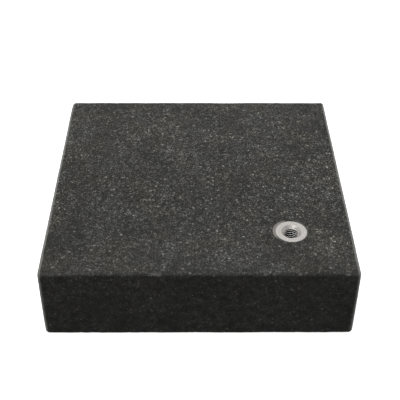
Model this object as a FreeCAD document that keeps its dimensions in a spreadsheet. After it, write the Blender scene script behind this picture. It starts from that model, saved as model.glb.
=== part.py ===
"""Granite slab: a square block of black granite with an M8 steel bush bonded into it near one corner.

The slab lies on the XY plane, its base centred on the origin, with +Z up. The bush stands in the corner
towards +X and -Y. Every length is in millimetres and every angle in degrees.
"""

import FreeCAD
import Part

import os

from Sketcher import Constraint

Vector = FreeCAD.Vector

# The driving dimensions: alias, value, what it measures.
DIMENSIONS = [
    ("slab_width", 150.0, "slab along X"),
    ("slab_depth", 150.0, "slab along Y"),
    ("slab_height", 40.0, "slab along Z"),
    ("arris_radius", 1.8, "rounding of the slab's twelve edges"),
    ("bush_inset_side", 30.0, "bush axis from the side face at +X"),
    ("bush_inset_front", 30.4, "bush axis from the front face at -Y"),
    ("bush_recess", 0.1, "bush face below the working face"),
    ("bush_diameter", 15.7, "outside of the bush"),
    ("bush_length", 25.0, "bush from end to end"),
    ("bush_rim", 0.25, "chamfer round both ends of the bush"),
    ("mouth_diameter", 10.0, "countersink at the mouth of the tapped hole"),
    ("mouth_angle", 90.0, "included angle of that countersink"),
    ("drill_diameter", 6.9, "tapping drill"),
    ("drill_depth", 21.0, "full diameter of the drill below the bush face"),
    ("drill_angle", 118.0, "included angle of the drill point"),
    ("thread_diameter", 8.0, "M8 thread, across its roots"),
    ("thread_pitch", 1.25, "M8 coarse thread, crest to crest"),
    ("thread_flank", 30.0, "each flank from square to the axis"),
    ("thread_depth", 18.0, "thread below the bush face"),
    ("thread_start", 1.2, "start of the cutting path above the bush face"),
    ("tool_clearance", 0.25, "cutting profiles past the surface that they cut"),
    ("groove_width", 1.6, "bonding groove along the bush"),
    ("groove_bite", 0.8, "bonding groove into the bush"),
    ("groove_first", 4.0, "middle of the lowest groove above the bush's lower end"),
    ("groove_spacing", 5.0, "middle to middle of the grooves"),
    ("core_diameter", 17.1, "hole core-drilled in the granite"),
    ("core_depth", 26.6, "that hole below the working face"),
    ("core_shift_x", -0.5, "axis of that hole from the axis of the bush, along X"),
    ("core_shift_y", 0.1, "the same along Y"),
    ("core_edge", 0.15, "ground edge at the mouth of that hole"),
    ("bond_recess", 0.2, "cured epoxy below the working face"),
    ("bond_bore", 10.0, "clear bore through the epoxy, inside the bush wall"),
]
BOND_GROOVES = 3
BORE_QUARTERS = 4

SIZE = {alias: value for alias, value, _ in DIMENSIONS}
BUSH_X = "dims.slab_width / 2 - dims.bush_inset_side"
BUSH_Y = "dims.bush_inset_front - dims.slab_depth / 2"

doc = FreeCAD.newDocument("GraniteSlab")


def make_sheet():
    """The spreadsheet that every size is bound to."""
    sheet = doc.addObject("Spreadsheet::Sheet", "dims")
    for row, (alias, value, meaning) in enumerate(DIMENSIONS, start=1):
        sheet.set(f"A{row}", meaning)
        sheet.set(f"B{row}", str(value))
        sheet.setAlias(f"B{row}", alias)
    doc.recompute()


def origin_item(body, role):
    """One of the body's own origin planes or axes, such as XY_Plane or Z_Axis."""
    return next(item for item in body.Origin.OriginFeatures if item.Role == role)


def add_sketch(body, name, role, height=None):
    """An empty sketch on an origin plane of the body, raised along the plane's normal by a formula."""
    sketch = body.newObject("Sketcher::SketchObject", name)
    sketch.AttachmentSupport = [(origin_item(body, role), "")]
    sketch.MapMode = "FlatFace"
    if height is not None:
        sketch.setExpression(".AttachmentOffset.Base.z", height)
    return sketch


def bind(sketch, name, constraint, formula):
    """Adds a named constraint and drives it with a formula on the sheet."""
    sketch.renameConstraint(sketch.addConstraint(constraint), name)
    sketch.setExpression(f"Constraints.{name}", formula)


def draw_circle(sketch, radius, x="0", y="0"):
    """A circle whose radius and centre follow formulas."""
    circle = sketch.addGeometry(Part.Circle(Vector(0, 0, 0), Vector(0, 0, 1), 1.0), False)
    bind(sketch, "radius", Constraint("Radius", circle, 1.0), radius)
    bind(sketch, "centre_x", Constraint("DistanceX", -1, 1, circle, 3, 0.5), x)
    bind(sketch, "centre_y", Constraint("DistanceY", -1, 1, circle, 3, 0.5), y)


def draw_polygon(sketch, corners):
    """A closed outline through corners, each given as its (x formula, y formula, rough x, rough y)."""
    rough = [Vector(x, y, 0) for _, _, x, y in corners]
    count = len(corners)
    for i in range(count):
        sketch.addGeometry(Part.LineSegment(rough[i], rough[(i + 1) % count]), False)
    for i, (x, y, near_x, near_y) in enumerate(corners):
        sketch.addConstraint(Constraint("Coincident", i - 1 if i else count - 1, 2, i, 1))
        bind(sketch, f"x{i}", Constraint("DistanceX", -1, 1, i, 1, near_x), x)
        bind(sketch, f"y{i}", Constraint("DistanceY", -1, 1, i, 1, near_y), y)


def feature(body, kind, name, **links):
    """A PartDesign feature with its links set."""
    made = body.newObject(f"PartDesign::{kind}", name)
    for prop, value in links.items():
        setattr(made, prop, value)
    return made


def drive(made, **formulas):
    """Binds properties of an object to formulas on the sheet."""
    for prop, formula in formulas.items():
        made.setExpression(prop, formula)


def rim_edges(shape, diameter, heights):
    """Names of the whole circles of this diameter that lie level at any of these heights."""
    names = []
    for i, edge in enumerate(shape.Edges, start=1):
        if edge.Degenerated or not isinstance(edge.Curve, Part.Circle):
            continue
        level = edge.BoundBox.ZLength < 1e-6 and any(abs(edge.BoundBox.ZMin - z) < 1e-6 for z in heights)
        if level and abs(edge.Curve.Radius * 2 - diameter) < 1e-6:
            names.append(f"Edge{i}")
    return names


def removed_by(body, build):
    """Runs build, recomputes, and stops if the feature that it made cut nothing from the body."""
    before = body.Shape.Volume
    made = build()
    doc.recompute()
    if not body.Shape.Volume < before:
        raise RuntimeError(f"{made.Label} removed nothing from {body.Label}")
    return made


def granite_slab():
    """The block: sawn square, every edge rounded, and core-drilled for the bush."""
    body = doc.addObject("PartDesign::Body", "granite_slab")
    outline = add_sketch(body, "slab_outline", "XY_Plane")
    half_x, half_y = "dims.slab_width / 2", "dims.slab_depth / 2"
    near_x, near_y = SIZE["slab_width"] / 2, SIZE["slab_depth"] / 2
    draw_polygon(
        outline,
        [
            (f"-{half_x}", f"-{half_y}", -near_x, -near_y),
            (half_x, f"-{half_y}", near_x, -near_y),
            (half_x, half_y, near_x, near_y),
            (f"-{half_x}", half_y, -near_x, near_y),
        ],
    )
    block = feature(body, "Pad", "block", Profile=outline)
    drive(block, Length="dims.slab_height")
    doc.recompute()

    def round_edges():
        arris = feature(body, "Fillet", "arris", Base=(block, ["Edge1"]), UseAllEdges=True)
        drive(arris, Radius="dims.arris_radius")
        return arris

    removed_by(body, round_edges)
    mouth = add_sketch(body, "core_mouth", "XY_Plane", "dims.slab_height")
    draw_circle(
        mouth,
        "dims.core_diameter / 2",
        f"{BUSH_X} + dims.core_shift_x",
        f"{BUSH_Y} + dims.core_shift_y",
    )

    def drill_core():
        core = feature(body, "Pocket", "core_hole", Profile=mouth)
        drive(core, Length="dims.core_depth")
        return core

    core = removed_by(body, drill_core)
    rim = rim_edges(core.Shape, SIZE["core_diameter"], [SIZE["slab_height"]])

    def grind_rim():
        ground = feature(body, "Chamfer", "core_edge", Base=(core, rim))
        drive(ground, Size="dims.core_edge")
        return ground

    removed_by(body, grind_rim)
    return body


def threaded_bush():
    """The steel bush: turned, grooved outside to hold the bond, and tapped M8 from the top."""
    body = doc.addObject("PartDesign::Body", "threaded_bush")
    drive(
        body,
        **{
            ".Placement.Base.x": BUSH_X,
            ".Placement.Base.y": BUSH_Y,
            ".Placement.Base.z": "dims.slab_height - dims.bush_recess - dims.bush_length",
        },
    )
    end = add_sketch(body, "bush_end", "XY_Plane")
    draw_circle(end, "dims.bush_diameter / 2")
    bar = feature(body, "Pad", "bar", Profile=end)
    drive(bar, Length="dims.bush_length")
    doc.recompute()
    rims = rim_edges(bar.Shape, SIZE["bush_diameter"], [0.0, SIZE["bush_length"]])

    def break_rims():
        made = feature(body, "Chamfer", "rims", Base=(bar, rims))
        drive(made, Size="dims.bush_rim")
        return made

    removed_by(body, break_rims)
    cut_bond_grooves(body)
    cut_bore(body)
    cut_thread(body)
    return body


def cut_bond_grooves(body):
    """Square grooves round the outside, evenly spaced, that the epoxy keys into."""
    section = add_sketch(body, "groove_section", "XZ_Plane")
    near_r, bite = SIZE["bush_diameter"] / 2, SIZE["groove_bite"]
    near_z, near_w = SIZE["groove_first"], SIZE["groove_width"]
    floor_x = "dims.bush_diameter / 2 - dims.groove_bite"
    outside_x = "dims.bush_diameter / 2 + dims.groove_bite"
    low = "dims.groove_first - dims.groove_width / 2"
    high = "dims.groove_first + dims.groove_width / 2"
    draw_polygon(
        section,
        [
            (floor_x, low, near_r - bite, near_z - near_w / 2),
            (outside_x, low, near_r + bite, near_z - near_w / 2),
            (outside_x, high, near_r + bite, near_z + near_w / 2),
            (floor_x, high, near_r - bite, near_z + near_w / 2),
        ],
    )
    axis = (origin_item(body, "Z_Axis"), [""])
    groove = removed_by(
        body, lambda: feature(body, "Groove", "bond_groove", Profile=section, ReferenceAxis=axis)
    )

    def repeat_groove():
        row = feature(body, "LinearPattern", "bond_grooves", Originals=[groove], Direction=axis)
        row.Occurrences = BOND_GROOVES
        drive(row, Length=f"dims.groove_spacing * {BOND_GROOVES - 1}")
        body.Tip = row
        return row

    removed_by(body, repeat_groove)


def cut_bore(body):
    """The tapping drill's blind hole and its countersink, cut a quarter turn at a time.

    The quarters stay separate faces, so that the thread leaves short strips of wall.
    """
    section = add_sketch(body, "bore_section", "XZ_Plane")
    wall_x = "dims.drill_diameter / 2"
    mouth_x = "dims.mouth_diameter / 2"
    drill_z = "dims.bush_length - dims.drill_depth"
    tip_z = f"{drill_z} - dims.drill_diameter / 2 / tan(dims.drill_angle / 2)"
    cone_z = "dims.bush_length - (dims.mouth_diameter - dims.drill_diameter) / 2 / tan(dims.mouth_angle / 2)"
    over_z = "dims.bush_length + dims.tool_clearance"
    wall, mouth, top = SIZE["drill_diameter"] / 2, SIZE["mouth_diameter"] / 2, SIZE["bush_length"]
    floor = top - SIZE["drill_depth"]
    over = top + SIZE["tool_clearance"]
    draw_polygon(
        section,
        [
            ("0", tip_z, 0.0, floor - wall / 2),
            (wall_x, drill_z, wall, floor),
            (wall_x, cone_z, wall, top - mouth + wall),
            (mouth_x, "dims.bush_length", mouth, top),
            (mouth_x, over_z, mouth, over),
            ("0", over_z, 0.0, over),
        ],
    )
    axis = (origin_item(body, "Z_Axis"), [""])

    def cut_quarter():
        quarter = feature(body, "Groove", "bore_quarter", Profile=section, ReferenceAxis=axis)
        quarter.Angle = 360 / BORE_QUARTERS
        quarter.Refine = False
        return quarter

    quarter = removed_by(body, cut_quarter)

    def repeat_quarter():
        ring = feature(body, "PolarPattern", "bore", Originals=[quarter], Axis=axis, Angle=360.0)
        ring.Occurrences = BORE_QUARTERS
        ring.Refine = False
        body.Tip = ring
        return ring

    removed_by(body, repeat_quarter)


def cut_thread(body):
    """A right-hand metric thread, cut downwards from above the mouth."""
    section = add_sketch(body, "thread_section", "XZ_Plane")
    start_z = "(dims.bush_length + dims.thread_start)"
    root_x = "dims.thread_diameter / 2"
    open_x = "dims.drill_diameter / 2 - dims.tool_clearance"
    root_half = "dims.thread_pitch / 16"
    open_half = f"({root_half} + ({root_x} - {open_x}) * tan(dims.thread_flank))"
    near_root, near_open = SIZE["thread_diameter"] / 2, SIZE["drill_diameter"] / 2
    near_z, near_half = SIZE["bush_length"] + SIZE["thread_start"], SIZE["thread_pitch"] / 4
    draw_polygon(
        section,
        [
            (open_x, f"{start_z} - {open_half}", near_open, near_z - near_half),
            (root_x, f"{start_z} - {root_half}", near_root, near_z - near_half / 4),
            (root_x, f"{start_z} + {root_half}", near_root, near_z + near_half / 4),
            (open_x, f"{start_z} + {open_half}", near_open, near_z + near_half),
        ],
    )

    def cut():
        thread = feature(body, "SubtractiveHelix", "thread", Profile=section)
        thread.ReferenceAxis = (origin_item(body, "Z_Axis"), [""])
        thread.Mode = "pitch-height-angle"
        thread.Reversed = True
        thread.Refine = False
        drive(thread, Pitch="dims.thread_pitch", Height="dims.thread_start + dims.thread_depth")
        return thread

    removed_by(body, cut)


def epoxy_bond(bush):
    """The cured epoxy: what the core-drilled hole holds round and under the bush."""
    fill = doc.addObject("Part::Cylinder", "core_fill")
    drive(
        fill,
        Radius="dims.core_diameter / 2",
        Height="dims.core_depth - dims.bond_recess",
        **{
            ".Placement.Base.x": f"{BUSH_X} + dims.core_shift_x",
            ".Placement.Base.y": f"{BUSH_Y} + dims.core_shift_y",
            ".Placement.Base.z": "dims.slab_height - dims.core_depth",
        },
    )
    clear = doc.addObject("Part::Cylinder", "bush_bore")
    drive(
        clear,
        Radius="dims.bond_bore / 2",
        Height="dims.bush_length",
        **{
            ".Placement.Base.x": BUSH_X,
            ".Placement.Base.y": BUSH_Y,
            ".Placement.Base.z": "dims.slab_height - dims.bush_recess - dims.bush_length",
        },
    )
    collar = doc.addObject("Part::Cut", "bored_fill")
    collar.Base, collar.Tool = fill, clear
    bond = doc.addObject("Part::Cut", "epoxy_bond")
    bond.Base, bond.Tool = collar, bush
    return bond


def check(parts):
    """Stops on any object that failed, and on any sub-part whose shape isn't sound."""
    for item in doc.Objects:
        if {"Invalid", "Error"} & set(item.State):
            raise RuntimeError(f"{item.Label} failed: {item.State}")
    for item in parts:
        shape = item.Shape
        if shape.isNull() or not shape.isValid() or not shape.Solids:
            raise RuntimeError(f"{item.Label} is not a sound solid")


def main():
    make_sheet()
    slab = granite_slab()
    bush = threaded_bush()
    bond = epoxy_bond(bush)
    doc.recompute()
    parts = [slab, bush, bond]
    check(parts)
    os.makedirs("parts", exist_ok=True)
    for item in parts:
        item.Shape.exportStep(os.path.join("parts", f"{item.Label}.step"))
        print(item.Label, len(item.Shape.Solids), "solid,", round(item.Shape.Volume, 1), "mm3")


main()
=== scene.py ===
import math
import random

import bmesh
import bpy
import numpy as np
from mathutils import Matrix, Vector, noise
from mathutils.geometry import delaunay_2d_cdt


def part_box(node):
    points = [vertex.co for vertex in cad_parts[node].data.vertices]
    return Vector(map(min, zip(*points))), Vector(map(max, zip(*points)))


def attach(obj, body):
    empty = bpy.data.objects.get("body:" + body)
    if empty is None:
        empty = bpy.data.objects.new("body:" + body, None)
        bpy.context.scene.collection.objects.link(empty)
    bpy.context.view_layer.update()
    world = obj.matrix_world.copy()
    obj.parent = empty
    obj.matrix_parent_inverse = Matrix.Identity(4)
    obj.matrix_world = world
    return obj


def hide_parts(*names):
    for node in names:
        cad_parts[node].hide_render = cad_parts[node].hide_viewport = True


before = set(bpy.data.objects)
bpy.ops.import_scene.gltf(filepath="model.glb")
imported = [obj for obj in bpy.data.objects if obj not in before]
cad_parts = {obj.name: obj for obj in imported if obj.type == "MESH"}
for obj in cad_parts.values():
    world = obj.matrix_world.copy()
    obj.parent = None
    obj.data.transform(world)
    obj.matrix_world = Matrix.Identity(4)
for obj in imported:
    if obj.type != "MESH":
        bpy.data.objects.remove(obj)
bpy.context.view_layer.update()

MM = 0.001

SLAB_LOW, SLAB_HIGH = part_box("granite_slab")
BUSH_LOW, BUSH_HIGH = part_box("threaded_bush")
BOND_LOW, BOND_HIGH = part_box("epoxy_bond")

# All sizes below are in millimetres.
HALF = Vector((SLAB_HIGH.x - SLAB_LOW.x, SLAB_HIGH.y - SLAB_LOW.y, SLAB_HIGH.z - SLAB_LOW.z)) / 2 / MM
MIDDLE = (SLAB_LOW + SLAB_HIGH) / 2 / MM
BUSH = (BUSH_LOW + BUSH_HIGH) / 2 / MM
BUSH_TOP = BUSH_HIGH.z / MM
CORE = (BOND_LOW + BOND_HIGH) / 2 / MM
CORE_RADIUS = (BOND_HIGH.x - BOND_LOW.x) / 2 / MM
CORE_FLOOR = BOND_LOW.z / MM
BOND_TOP = BOND_HIGH.z / MM
MOUTH_RADIUS = 5.0
THREAD_CREST = 3.45
THREAD_ROOT = 4.0
MOUTH_FLOOR = BUSH_TOP - 1.5


# ---------------------------------------------------------------- node helpers

class Nodes:
    """Short calls for building a node tree."""

    def __init__(self, tree):
        self.tree = tree
        tree.nodes.clear()

    def add(self, kind, inputs=None, **settings):
        node = self.tree.nodes.new(kind)
        for key, value in settings.items():
            setattr(node, key, value)
        for key, value in (inputs or {}).items():
            self.put(node.inputs[key], value)
        return node

    def put(self, socket, value):
        if isinstance(value, bpy.types.NodeSocket):
            self.tree.links.new(value, socket)
        else:
            socket.default_value = value

    def math(self, operation, a, b=None):
        inputs = {0: a} if b is None else {0: a, 1: b}
        return self.add("ShaderNodeMath", inputs, operation=operation).outputs[0]

    def times(self, *factors):
        product = factors[0]
        for factor in factors[1:]:
            product = self.math("MULTIPLY", product, factor)
        return product

    def inverse(self, value):
        return self.math("SUBTRACT", 1.0, value)

    def along(self, vector, axis):
        return self.add("ShaderNodeSeparateXYZ", {"Vector": vector}).outputs[axis]

    def vector(self, operation, a, b=None):
        inputs = {0: a} if b is None else {0: a, 1: b}
        node = self.add("ShaderNodeVectorMath", inputs, operation=operation)
        return node.outputs["Value" if operation in ("LENGTH", "DOT_PRODUCT") else "Vector"]

    def scale(self, a, factor):
        node = self.add("ShaderNodeVectorMath", {0: a}, operation="SCALE")
        self.put(node.inputs["Scale"], factor)
        return node.outputs["Vector"]

    def ramp(self, value, stops):
        """Colours from stops, each its place and either a colour or one number for a grey."""
        node = self.add("ShaderNodeValToRGB", {"Fac": value})
        elements = node.color_ramp.elements
        while len(elements) > len(stops):
            elements.remove(elements[-1])
        while len(elements) < len(stops):
            elements.new(1.0)
        for element, (place, colour) in zip(elements, stops):
            element.position = place
            element.color = (*colour, 1.0) if isinstance(colour, tuple) else (colour,) * 3 + (1.0,)
        return node.outputs["Color"]

    def mix(self, factor, a, b, blend="MIX"):
        node = self.add("ShaderNodeMix", data_type="RGBA", blend_type=blend)
        self.put(node.inputs["Factor"], factor)
        self.put(node.inputs["A"], a)
        self.put(node.inputs["B"], b)
        return node.outputs["Result"]

    def range(self, value, low, high, to_low, to_high, kind="LINEAR"):
        node = self.add(
            "ShaderNodeMapRange",
            {"Value": value, "From Min": low, "From Max": high, "To Min": to_low, "To Max": to_high},
            interpolation_type=kind,
        )
        return node.outputs["Result"]

    def noise(self, at, scale, detail=2.0, roughness=0.5):
        return self.add(
            "ShaderNodeTexNoise",
            {"Vector": at, "Scale": scale, "Detail": detail, "Roughness": roughness},
        ).outputs["Fac"]

    def cells(self, at, scale):
        return self.add("ShaderNodeTexVoronoi", {"Vector": at, "Scale": scale}).outputs["Color"]

    def channel(self, colour, index):
        return self.add("ShaderNodeSeparateColor", {"Color": colour}).outputs[index]

    def bump(self, height, strength, distance, normal=None):
        inputs = {"Height": height, "Strength": strength, "Distance": distance}
        if normal is not None:
            inputs["Normal"] = normal
        return self.add("ShaderNodeBump", inputs).outputs["Normal"]

    def shade(self, colour, roughness, normal, uniform):
        """The finished surface. Values in uniform are the same all over it."""
        inputs = {"Base Color": colour, "Roughness": roughness, "Normal": normal, **uniform}
        shader = self.add("ShaderNodeBsdfPrincipled", inputs)
        self.add("ShaderNodeOutputMaterial", {"Surface": shader.outputs[0]})


def material(name):
    made = bpy.data.materials.new(name)
    made.use_nodes = True
    return made, Nodes(made.node_tree)


def millimetres(nodes):
    """Object coordinates in millimetres. Each object sits at the origin, so all pieces share them."""
    return nodes.scale(nodes.add("ShaderNodeTexCoord").outputs["Object"], 1 / MM)


# ---------------------------------------------------------------- materials

# Stops of the colour ramps: a place from 0 to 1, and the colour there. Noise scales are per millimetre.
COARSE_GRAIN, FINE_GRAIN, FINE_SHARE = 1.35, 2.6, 0.42
COARSE_COLOURS = [
    (0.0, (0.0011, 0.0011, 0.001)),
    (0.45, (0.0022, 0.0022, 0.002)),
    (0.72, (0.018, 0.018, 0.0172)),
    (0.90, (0.084, 0.084, 0.081)),
    (0.97, (0.165, 0.165, 0.16)),
    (1.0, (0.46, 0.46, 0.448)),
]
FINE_COLOURS = [
    (0.0, (0.0013, 0.0013, 0.0012)),
    (0.5, (0.0065, 0.0065, 0.0063)),
    (0.85, (0.078, 0.078, 0.0752)),
    (1.0, (0.38, 0.38, 0.368)),
]
CLOUD_SHADES = [(0.3, 0.58), (0.7, 1.38)]
CLOUD_SHIFT = (410.0, -230.0, 170.0)
PATCH_SHADES = [(0.35, 0.62), (0.65, 1.38)]
OLIVE_TINTS = [(0.42, (1.0, 1.0, 0.98)), (0.68, (1.05, 1.0, 0.84))]
GROUND_COLOURS = [(0.3, (0.022, 0.022, 0.021)), (0.7, (0.066, 0.066, 0.0625))]
FRESH_COLOURS = [(0.0, (0.03, 0.03, 0.028)), (1.0, (0.17, 0.168, 0.16))]
MEAN_STONE = (0.030, 0.030, 0.0289, 1.0)
# Painted light on the rounded arrises of the two sides.
ARRIS_PAINTED_LIGHT = (0.23, 0.23, 0.22, 1.0)
CALM_FROM = 20.0
FRONT_CALM, BACK_CALM = 0.34, 0.22
ARRIS_ROUGHNESS = 0.3

DULL_STEEL, CLEAN_STEEL = (0.50, 0.478, 0.458, 1.0), (0.75, 0.725, 0.70, 1.0)
# A little painted shade in the countersink: its steel is mixed toward this grey.
CONE_SHADE_GREY = (0.12, 0.115, 0.11, 1.0)
# Painted light and shade for the thread in the bore: pale for a painted highlight on the upward flanks,
# dark for painted shade on the crests and in the roots.
THREAD_PAINTED_SHADE, THREAD_PAINTED_LIGHT = (0.012, 0.011, 0.010, 1.0), (0.95, 0.93, 0.91, 1.0)
ROOT_SHADE_START, ROOT_SHADE_FULL = THREAD_CREST + 0.19, THREAD_CREST + 0.33
THREAD_LEAN = 0.36
CONE_TOP = BUSH_TOP - 0.02
BORE_LIMIT = THREAD_ROOT + 0.2

CLEAN_EPOXY = [(0.3, (0.165, 0.147, 0.133)), (0.7, (0.28, 0.255, 0.238))]
# Painted shade for the narrow part of the ring round the bush.
NARROW_GAP_SHADE = [(0.3, (0.016, 0.015, 0.014)), (0.7, (0.055, 0.052, 0.049))]
WIDE_SIDE = (-0.95, 0.3, 0.0)
HALF_WAY = (0.5, 0.5, 0.5)


def grain_colour(n, at, coarse_value, fine_value):
    """Lapped stone: two sizes of grain, calmer to the front and back, in patches and large clouds."""
    coarse, fine = n.ramp(coarse_value, COARSE_COLOURS), n.ramp(fine_value, FINE_COLOURS)
    stone = n.mix(FINE_SHARE, coarse, fine)
    depth = n.along(at, "Y")
    front = n.range(depth, -HALF.y, -CALM_FROM, FRONT_CALM, 0.0)
    back = n.range(depth, CALM_FROM, HALF.y, 0.0, BACK_CALM)
    stone = n.mix(n.math("ADD", front, back), stone, MEAN_STONE)
    cloud = n.noise(n.vector("ADD", at, CLOUD_SHIFT), 0.045, 2.0, 0.6)
    patch = n.noise(at, 0.3, 2.0, 0.6)
    olive = n.noise(at, 0.06, 3.0, 0.6)
    for value, shades in ((cloud, CLOUD_SHADES), (patch, PATCH_SHADES), (olive, OLIVE_TINTS)):
        stone = n.mix(1.0, stone, n.ramp(value, shades), "MULTIPLY")
    return stone


def ground_sides(n, at, stone, normal):
    """The sides are ground, not lapped, which blurs and darkens the grain."""
    lapped = n.range(n.math("ABSOLUTE", n.along(normal, "Z")), 0.6, 0.95, 0.0, 1.0, "SMOOTHSTEP")
    ground = n.ramp(n.noise(at, 0.42, 2.0, 0.5), GROUND_COLOURS)
    return n.mix(lapped, n.mix(0.5, stone, ground), stone)


def granite_material():
    made, n = material("black_granite")
    at = millimetres(n)
    warp = n.add("ShaderNodeTexNoise", {"Vector": at, "Scale": 1.1, "Detail": 2.0}).outputs["Color"]
    bent = n.vector("ADD", at, n.scale(n.vector("SUBTRACT", warp, HALF_WAY), 0.9))
    fine = n.cells(bent, FINE_GRAIN)
    coarse_value, fine_value = n.channel(n.cells(bent, COARSE_GRAIN), 0), n.channel(fine, 1)
    normal = n.add("ShaderNodeNewGeometry").outputs["Normal"]
    stone = ground_sides(n, at, grain_colour(n, at, coarse_value, fine_value), normal)

    # The arrises of the two sides are smoother from handling, and their stone is painted paler: painted
    # light on the side arrises.
    sideways = n.math("ABSOLUTE", n.along(normal, "X"))
    turning = n.range(sideways, 0.2, 0.55, 0.0, 1.0, "SMOOTHSTEP")
    handled = n.times(turning, n.range(sideways, 0.999, 0.985, 0.0, 1.0, "SMOOTHSTEP"))
    arris_light_rise = n.range(sideways, 0.05, 0.34, 0.0, 0.74, "SMOOTHSTEP")
    arris_light = n.times(arris_light_rise, n.range(sideways, 0.999, 0.55, 0.0, 1.0))
    stone = n.mix(arris_light, stone, ARRIS_PAINTED_LIGHT)
    chipped = n.add("ShaderNodeAttribute", attribute_name="chipped").outputs["Fac"]
    stone = n.mix(chipped, stone, n.ramp(fine_value, FRESH_COLOURS))

    rough = n.times(n.range(coarse_value, 0.0, 1.0, 0.50, 0.75), n.inverse(handled))
    roughness = n.math("ADD", rough, n.times(handled, ARRIS_ROUGHNESS))
    tilt = n.scale(n.vector("SUBTRACT", fine, HALF_WAY), n.range(handled, 0.0, 1.0, 0.5, 0.15))
    facet = n.vector("NORMALIZE", n.vector("ADD", normal, tilt))
    bump = n.bump(n.noise(at, 3.2, 3.0, 0.6), 0.35, 0.04 * MM, facet)
    n.shade(stone, roughness, bump, {"IOR": 1.5, "Specular IOR Level": 0.32})
    return made


def bore_light_and_shade(n, radius):
    """Painted light and shade in the bore: a painted highlight on the thread's upward flanks, and
    painted shade on its crests and in its roots.
    """
    root_shade = n.range(radius, ROOT_SHADE_START, ROOT_SHADE_FULL, 0.0, 1.0)
    upward = n.along(n.add("ShaderNodeNewGeometry").outputs["True Normal"], "Z")
    pale = n.times(n.range(upward, 0.4, 0.8, 0.0, 1.0), n.inverse(root_shade))
    return n.mix(pale, THREAD_PAINTED_SHADE, THREAD_PAINTED_LIGHT)


def steel_material():
    made, n = material("stainless_steel")
    at = millimetres(n)
    flat = n.vector("MULTIPLY", n.vector("SUBTRACT", at, (BUSH.x, BUSH.y, 0.0)), (1.0, 1.0, 0.0))
    radius = n.vector("LENGTH", flat)
    height = n.along(at, "Z")
    inside = n.math("LESS_THAN", height, MOUTH_FLOOR)
    bored = n.times(inside, n.math("LESS_THAN", radius, BORE_LIMIT))
    cone = n.times(n.math("LESS_THAN", radius, MOUTH_RADIUS), n.math("LESS_THAN", height, CONE_TOP))

    rings = n.add(
        "ShaderNodeTexNoise",
        {"W": radius, "Scale": 9.0, "Detail": 3.0, "Roughness": 0.7},
        noise_dimensions="1D",
    ).outputs["Fac"]
    speckle = n.noise(at, 6.0, 3.0, 0.65)
    stain = n.noise(at, 1.7, 3.0, 0.6)
    colour = n.mix(n.range(stain, 0.35, 0.65, 0.0, 1.0), DULL_STEEL, CLEAN_STEEL)
    # Painted shade in the countersink.
    colour = n.mix(n.times(cone, 0.13), colour, CONE_SHADE_GREY)
    # In the bore the colour is painted light and shade, set by the thread's flanks, crests and roots.
    colour = n.mix(bored, colour, bore_light_and_shade(n, radius))

    satin = n.range(n.math("ADD", rings, speckle), 0.7, 1.3, 0.34, 0.5)
    roughness = n.math("SUBTRACT", satin, n.times(bored, 0.16))
    roughness = n.math("ADD", roughness, n.times(cone, 0.05))
    # The thread's flanks are shaded as if they leaned towards the axis, which lights them from above.
    inward = n.scale(n.vector("NORMALIZE", flat), n.times(bored, -THREAD_LEAN))
    normal = n.add("ShaderNodeNewGeometry").outputs["Normal"]
    marks = n.math("ADD", n.times(rings, 0.6), n.times(speckle, 0.4))
    bump = n.bump(marks, 0.4, 0.02 * MM, n.vector("NORMALIZE", n.vector("ADD", normal, inward)))
    n.shade(colour, roughness, bump, {"Metallic": 1.0})
    return made


def epoxy_material():
    """Clean resin on the wide side of the bush, and painted shade where the ring is narrow."""
    made, n = material("epoxy")
    at = millimetres(n)
    mottle = n.noise(at, 2.2, 3.0, 0.6)
    outward = n.vector("NORMALIZE", n.vector("SUBTRACT", at, (BUSH.x, BUSH.y, BOND_TOP)))
    wide = n.vector("DOT_PRODUCT", outward, WIDE_SIDE)
    wander = n.math("ADD", wide, n.range(mottle, 0.3, 0.7, -0.15, 0.15))
    share = n.range(wander, 0.45, 0.85, 0.0, 1.0, "SMOOTHSTEP")
    # Where the ring is narrow, the resin is painted dark for the shade in the narrow gap.
    colour = n.mix(share, n.ramp(mottle, NARROW_GAP_SHADE), n.ramp(mottle, CLEAN_EPOXY))
    bump = n.bump(n.noise(at, 1.6, 2.0, 0.5), 0.5, 0.05 * MM)
    gloss = {"IOR": 1.55, "Specular IOR Level": 0.35}
    n.shade(colour, n.range(mottle, 0.3, 0.7, 0.32, 0.5), bump, gloss)
    return made


# ---------------------------------------------------------------- the granite block

# The mesh is close-set over the arrises and round the hole, and coarse across the flat faces.
ARRIS = 1.7
ARRIS_STEPS = 5
FINE = 0.5
SUPPORT = 4
COARSE = 3.0
JITTER = 0.25
LATTICE_SHIFT = 0.5
EDGE_CLEAR, HOLE_CLEAR = 0.4 * COARSE, 0.6 * COARSE
FILL_SEED = 11
RIM_EDGE = 0.12
RIM_POINTS = 168
RIM_WANDER, RIM_NICK = 0.06, 0.07
COLLAR = 1.02
WELD = 2e-4
CREASE = math.radians(40)


def axis_marks(half):
    """Grid lines along one axis: close-set over each rounded end, then even ones between."""
    flat = half - ARRIS
    over = [ARRIS * math.tan(math.radians(45) * k / ARRIS_STEPS) for k in range(1, ARRIS_STEPS + 1)]
    count = round(2 * flat / FINE)
    between = [-flat + 2 * flat * i / count for i in range(count + 1)]
    return [-flat - t for t in reversed(over)] + between + [flat + t for t in over]


def rounded(point):
    """A point on the cube, drawn in to the block with rounded edges."""
    inner = Vector([max(-h + ARRIS, min(h - ARRIS, c)) for c, h in zip(point, HALF)])
    return inner + (point - inner).normalized() * ARRIS


def place(axis, sign, u, v):
    """A point on the cube's face across axis, at (u, v) in that face."""
    point = Vector((0, 0, 0))
    point[axis] = sign * HALF[axis]
    point[(axis + 1) % 3] = u
    point[(axis + 2) % 3] = v
    return point


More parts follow.
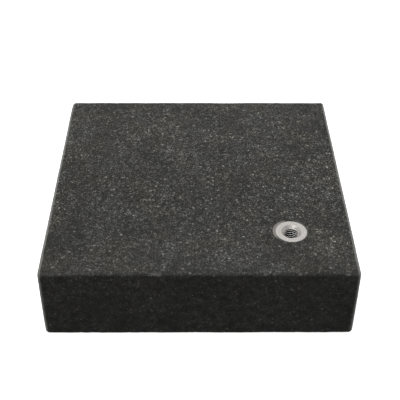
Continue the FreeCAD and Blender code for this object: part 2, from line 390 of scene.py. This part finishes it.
def add_band(mesh, axis, sign, marks_u, marks_v):
    """The close-set grid round the edge of one face. Returns the loop it leaves inside, as (u, v)."""
    margin = ARRIS_STEPS + SUPPORT
    last_u, last_v = len(marks_u) - 1, len(marks_v) - 1
    made = {}

    def vert(i, j):
        if (i, j) not in made:
            made[i, j] = mesh.verts.new(rounded(place(axis, sign, marks_u[i], marks_v[j])))
        return made[i, j]

    for i in range(last_u):
        for j in range(last_v):
            if margin <= i < last_u - margin and margin <= j < last_v - margin:
                continue
            mesh.faces.new([vert(i, j), vert(i + 1, j), vert(i + 1, j + 1), vert(i, j + 1)])
    end_u, end_v = last_u - margin, last_v - margin
    loop = [(marks_u[i], marks_v[margin]) for i in range(margin, end_u)]
    loop += [(marks_u[end_u], marks_v[j]) for j in range(margin, end_v)]
    loop += [(marks_u[i], marks_v[end_v]) for i in range(end_u, margin, -1)]
    loop += [(marks_u[margin], marks_v[j]) for j in range(end_v, margin, -1)]
    return loop


def fill_face(mesh, axis, sign, loop, hole=None):
    """Triangles across the flat middle of a face, inside loop and outside the hole's loop.

    The hole is its centre and its loop of points. A collar of points just outside it keeps the
    shading of its rim from spreading over the flat.
    """
    draw = random.Random(FILL_SEED + axis * 2 + (sign > 0))
    low_u, low_v = min(u for u, v in loop), min(v for u, v in loop)
    high_u, high_v = -low_u, -low_v
    spare = []
    for i in range(1, int((high_u - low_u) / COARSE)):
        for j in range(1, int((high_v - low_v) / COARSE)):
            u = low_u + COARSE * (i + draw.uniform(-JITTER, JITTER)) + LATTICE_SHIFT
            v = low_v + COARSE * (j + draw.uniform(-JITTER, JITTER)) + LATTICE_SHIFT
            clear = min(u - low_u, high_u - u, v - low_v, high_v - v) > EDGE_CLEAR
            if hole:
                clear = clear and (Vector((u, v)) - hole[0]).length > CORE_RADIUS + HOLE_CLEAR
            if clear:
                spare.append((u, v))
    points = [Vector(p) for p in loop]
    edges = [(i, (i + 1) % len(loop)) for i in range(len(loop))]
    if hole:
        spare += [hole[0] + (p - hole[0]) * COLLAR for p in hole[1]]
        start = len(points)
        points += hole[1]
        edges += [(start + i, start + (i + 1) % len(hole[1])) for i in range(len(hole[1]))]
    points += [Vector(p) for p in spare]
    flat, _, triangles, _, _, _ = delaunay_2d_cdt(points, edges, [], 0, 1e-6)
    verts = [mesh.verts.new(place(axis, sign, p.x, p.y)) for p in flat]
    for corners in triangles:
        centre = sum((flat[i] for i in corners), Vector((0, 0))) / 3
        if hole:
            from_axis = centre - hole[0]
            if from_axis.length < rim_radius(math.atan2(from_axis.y, from_axis.x)):
                continue
        mesh.faces.new([verts[i] for i in corners])


def ring(mesh, radius_at, height):
    """A level ring of points round the core-drilled hole's axis."""
    verts = []
    for k in range(RIM_POINTS):
        angle = 2 * math.pi * k / RIM_POINTS
        radius = radius_at(angle)
        verts.append(
            mesh.verts.new(
                (
                    CORE.x - MIDDLE.x + radius * math.cos(angle),
                    CORE.y - MIDDLE.y + radius * math.sin(angle),
                    height - MIDDLE.z,
                )
            )
        )
    return verts


def join_rings(mesh, first, second):
    for k in range(len(first)):
        after = (k + 1) % len(first)
        mesh.faces.new([first[k], first[after], second[after], second[k]])


def rim_radius(angle):
    """The hole's mouth, worn a little wide and nicked."""
    wander = noise.noise(Vector((3 * math.cos(angle), 3 * math.sin(angle), 7.3)))
    nick = noise.noise(Vector((14 * math.cos(angle), 14 * math.sin(angle), 2.1)))
    return CORE_RADIUS + RIM_EDGE + RIM_WANDER * abs(wander) + RIM_NICK * max(0.0, nick)


# Bigger chips, where they show: the two faces that meet there, how far along the edge, across, and deep.
NAMED_CHIPS = [
    ((1, -1), (2, 1), -64.5, 0.7, 0.2),
    ((1, -1), (2, 1), -19.5, 0.9, 0.22),
    ((1, -1), (2, 1), 30.5, 0.8, 0.2),
    ((1, -1), (2, 1), 46.5, 0.8, 0.2),
]
RANDOM_CHIPS = 90
CHIP_SEED = 5
# How far wear moves an edge, over what length it changes, and where in the noise it is read.
WANDER = [(0.10, 14.0, (0, 0, 0)), (0.09, 3.6, (9, 0, 0)), (0.04, 1.1, (0, 9, 0))]
WEAR_MARGIN = 6.0
WEAR_REACH = 2.4


def edge_point(first, second, along):
    """The middle of the rounded edge between two faces, and the way out of the block there."""
    point, out = Vector((0, 0, 0)), Vector((0, 0, 0))
    third = ({0, 1, 2} - {first[0], second[0]}).pop()
    for axis, sign in (first, second):
        point[axis] = sign * (HALF[axis] - ARRIS * (1 - math.sqrt(0.5)))
        out[axis] = sign
    point[third] = along
    return point, out.normalized()


def chips():
    """Every chip: its centre, the way out of the block there, its width and its depth."""
    draw = random.Random(CHIP_SEED)
    made = [(*edge_point(a, b, along), width, deep) for a, b, along, width, deep in NAMED_CHIPS]
    pairs = [((a, s), (b, t)) for a, b in ((0, 1), (1, 2), (0, 2)) for s in (-1, 1) for t in (-1, 1)]
    lengths = [HALF[({0, 1, 2} - {a[0], b[0]}).pop()] for a, b in pairs]
    for first, second in draw.choices(pairs, weights=lengths, k=RANDOM_CHIPS):
        third = ({0, 1, 2} - {first[0], second[0]}).pop()
        along = draw.uniform(-1, 1) * HALF[third]
        width = 0.4 + 0.6 * draw.random() ** 2.5
        made.append((*edge_point(first, second, along), width, width * draw.uniform(0.08, 0.17)))
    return made


def wear_depth(point):
    """How far wear has moved the edge near this point, in toward the block."""
    return sum(by * (0.5 + noise.noise(point / length + Vector(shift))) for by, length, shift in WANDER)


def wear(mesh):
    """Hand-eased edges: the rounding wanders along each edge, and small chips are out of it."""
    chipped = mesh.verts.layers.float.new("chipped")
    inner = [h - WEAR_MARGIN for h in HALF]
    near = [v for v in mesh.verts if sum(abs(c) > i for c, i in zip(v.co, inner)) >= 2]
    where = np.array([v.co for v in near])
    move = np.zeros_like(where)
    mark = np.zeros(len(near))
    gap = np.array(HALF) - np.abs(where)
    sides = np.sign(where)
    wander = np.array([wear_depth(Vector(p)) for p in where])
    for a, b in ((0, 1), (1, 2), (0, 2)):
        reach = np.clip((gap[:, a] + gap[:, b] - 0.5 * ARRIS) / WEAR_REACH, 0, 1)
        weight = (1 - reach * reach * (3 - 2 * reach)) * np.clip(wander, 0, None)
        for axis in (a, b):
            move[:, axis] -= sides[:, axis] * weight / math.sqrt(2)
    for centre, out, width, deep in chips():
        away = np.linalg.norm(where - np.array(centre), axis=1)
        close = away < width * 1.4
        for i in np.nonzero(close)[0]:
            uneven = 1 + 0.35 * noise.noise(Vector(where[i]) * 1.3)
            inside = 1 - (away[i] / (width * uneven)) ** 2
            if inside > 0:
                move[i] -= np.array(out) * deep * min(1.0, 1.6 * inside)
                mark[i] = max(mark[i], min(1.0, 2.2 * inside))
    for vert, at, by, value in zip(near, where, move, mark):
        vert.co = Vector(at + by)
        vert[chipped] = float(value)


def granite_block():
    """The block with its worn arrises and chips, and the hole that the bush is bonded in."""
    mesh = bmesh.new()
    marks = [axis_marks(h) for h in HALF]
    rim = ring(mesh, rim_radius, SLAB_HIGH.z / MM)
    rim_loop = [Vector((v.co.x, v.co.y)) for v in rim]
    core_centre = Vector((CORE.x - MIDDLE.x, CORE.y - MIDDLE.y))
    for axis in range(3):
        for sign in (-1, 1):
            u, v = marks[(axis + 1) % 3], marks[(axis + 2) % 3]
            loop = add_band(mesh, axis, sign, u, v)
            top = axis == 2 and sign == 1
            fill_face(mesh, axis, sign, loop, (core_centre, rim_loop) if top else None)
    below = SLAB_HIGH.z / MM - RIM_EDGE
    middle = ring(mesh, lambda a: (CORE_RADIUS + rim_radius(a)) / 2 + 0.03, below + RIM_EDGE * 0.4)
    wall_top = ring(mesh, lambda a: CORE_RADIUS, below)
    wall_foot = ring(mesh, lambda a: CORE_RADIUS, CORE_FLOOR)
    join_rings(mesh, rim, middle)
    join_rings(mesh, middle, wall_top)
    join_rings(mesh, wall_top, wall_foot)
    mesh.faces.new(wall_foot)
    bmesh.ops.remove_doubles(mesh, verts=mesh.verts, dist=WELD)
    wear(mesh)
    bmesh.ops.recalc_face_normals(mesh, faces=mesh.faces)
    for face in mesh.faces:
        face.smooth = True
    for vert in mesh.verts:
        vert.co = (vert.co + MIDDLE) * MM
    for edge in mesh.edges:
        if len(edge.link_faces) == 2 and edge.calc_face_angle(0) > CREASE:
            edge.smooth = False
    data = bpy.data.meshes.new("granite_block")
    mesh.to_mesh(data)
    mesh.free()
    block = bpy.data.objects.new("granite_block", data)
    bpy.context.scene.collection.objects.link(block)
    return block


# ---------------------------------------------------------------- stage, light and camera

# Lengths in this section are in metres.
FLOOR_REACH = 12.0
FLOOR_DROP = 0.0002
FLOOR_ROUGHNESS, FLOOR_GLOW = 0.9, 0.8
ROOM_WHITE = (1.0, 0.997, 0.98, 1.0)
ROOM_FILL = 0.12
# Each lamp: where it is, its side, and its radiance.
LAMPS = {
    "overhead": ((0.0, -0.34, 1.2), 1.25, 1.42),
    "key": ((-0.54, -0.66, 0.96), 0.4, 4.2),
}
EYE = (-0.00254, -0.35890, 0.30750)
YAW, PITCH, ROLL = 0.00919, 0.66809, 0.00519
LENS = 76.17


def floor():
    """A pale ground that casts no light on the object, which the room's own light does instead."""
    data = bpy.data.meshes.new("floor")
    size = FLOOR_REACH
    data.from_pydata(
        [(-size, -size, 0), (size, -size, 0), (size, size, 0), (-size, size, 0)], [], [(0, 1, 2, 3)]
    )
    ground = bpy.data.objects.new("floor", data)
    bpy.context.scene.collection.objects.link(ground)
    ground.location.z = -FLOOR_DROP
    made, n = material("pale_floor")
    shader = n.add(
        "ShaderNodeBsdfPrincipled",
        {
            "Base Color": (0.86, 0.86, 0.86, 1.0),
            "Roughness": FLOOR_ROUGHNESS,
            "Emission Color": (1.0, 1.0, 1.0, 1.0),
            "Emission Strength": FLOOR_GLOW,
        },
    )
    n.add("ShaderNodeOutputMaterial", {"Surface": shader.outputs[0]})
    data.materials.append(made)
    ground.visible_diffuse = False
    ground.visible_glossy = False


def lamp_on_slab(name, place_at, side, radiance):
    """A soft square lamp aimed at the middle of the slab's base, that shines with this radiance."""
    data = bpy.data.lights.new(name, "AREA")
    data.shape = "RECTANGLE"
    data.size = data.size_y = side
    data.energy = radiance * math.pi * side * side
    lamp = bpy.data.objects.new(name, data)
    bpy.context.scene.collection.objects.link(lamp)
    lamp.location = place_at
    lamp.rotation_mode = "QUATERNION"
    lamp.rotation_quaternion = (-Vector(place_at)).to_track_quat("-Z", "Y")


def light():
    """A white room behind the object, dark in front, with two soft lamps above."""
    world = bpy.data.worlds.new("studio")
    bpy.context.scene.world = world
    world.use_nodes = True
    n = Nodes(world.node_tree)
    way = n.add("ShaderNodeTexCoord").outputs["Generated"]
    rise = n.along(way, "Z")
    behind = n.range(n.along(way, "Y"), -0.5, 0.15, 0.0, 1.0, "SMOOTHSTEP")
    above = n.range(rise, -0.95, -0.55, 0.0, 1.0, "SMOOTHSTEP")
    low = n.range(rise, -0.2, -0.5, 0.7, 1.0)
    glow = n.times(behind, above, low)
    background = n.add("ShaderNodeBackground", {"Color": ROOM_WHITE})
    n.put(background.inputs["Strength"], n.math("ADD", glow, ROOM_FILL))
    n.add("ShaderNodeOutputWorld", {"Surface": background.outputs[0]})
    for name, (place_at, side, radiance) in LAMPS.items():
        lamp_on_slab(name, place_at, side, radiance)


def camera():
    """The view, turned by YAW from +Y, tipped down by PITCH and rolled by ROLL, all in radians."""
    forward = math.cos(PITCH)
    ahead = Vector((math.sin(YAW) * forward, math.cos(YAW) * forward, -math.sin(PITCH)))
    level = Vector((math.cos(YAW), -math.sin(YAW), 0.0))
    upright = level.cross(ahead)
    right = level * math.cos(ROLL) + upright * math.sin(ROLL)
    up = upright * math.cos(ROLL) - level * math.sin(ROLL)
    data = bpy.data.cameras.new("camera")
    data.sensor_width = 36.0
    data.lens = LENS
    data.clip_start = 0.01
    eye = bpy.data.objects.new("camera", data)
    bpy.context.scene.collection.objects.link(eye)
    turn = Matrix((right, up, -ahead)).transposed()
    eye.matrix_world = Matrix.Translation(EYE) @ turn.to_4x4()
    bpy.context.scene.camera = eye


# ---------------------------------------------------------------- everything together

camera()
floor()
light()
bpy.context.scene.view_settings.view_transform = "Standard"

block = granite_block()
block.data.materials.append(granite_material())
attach(block, "root")
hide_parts("granite_slab")

for node, finish in (("threaded_bush", steel_material()), ("epoxy_bond", epoxy_material())):
    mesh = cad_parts[node].data
    mesh.materials.clear()
    mesh.materials.append(finish)
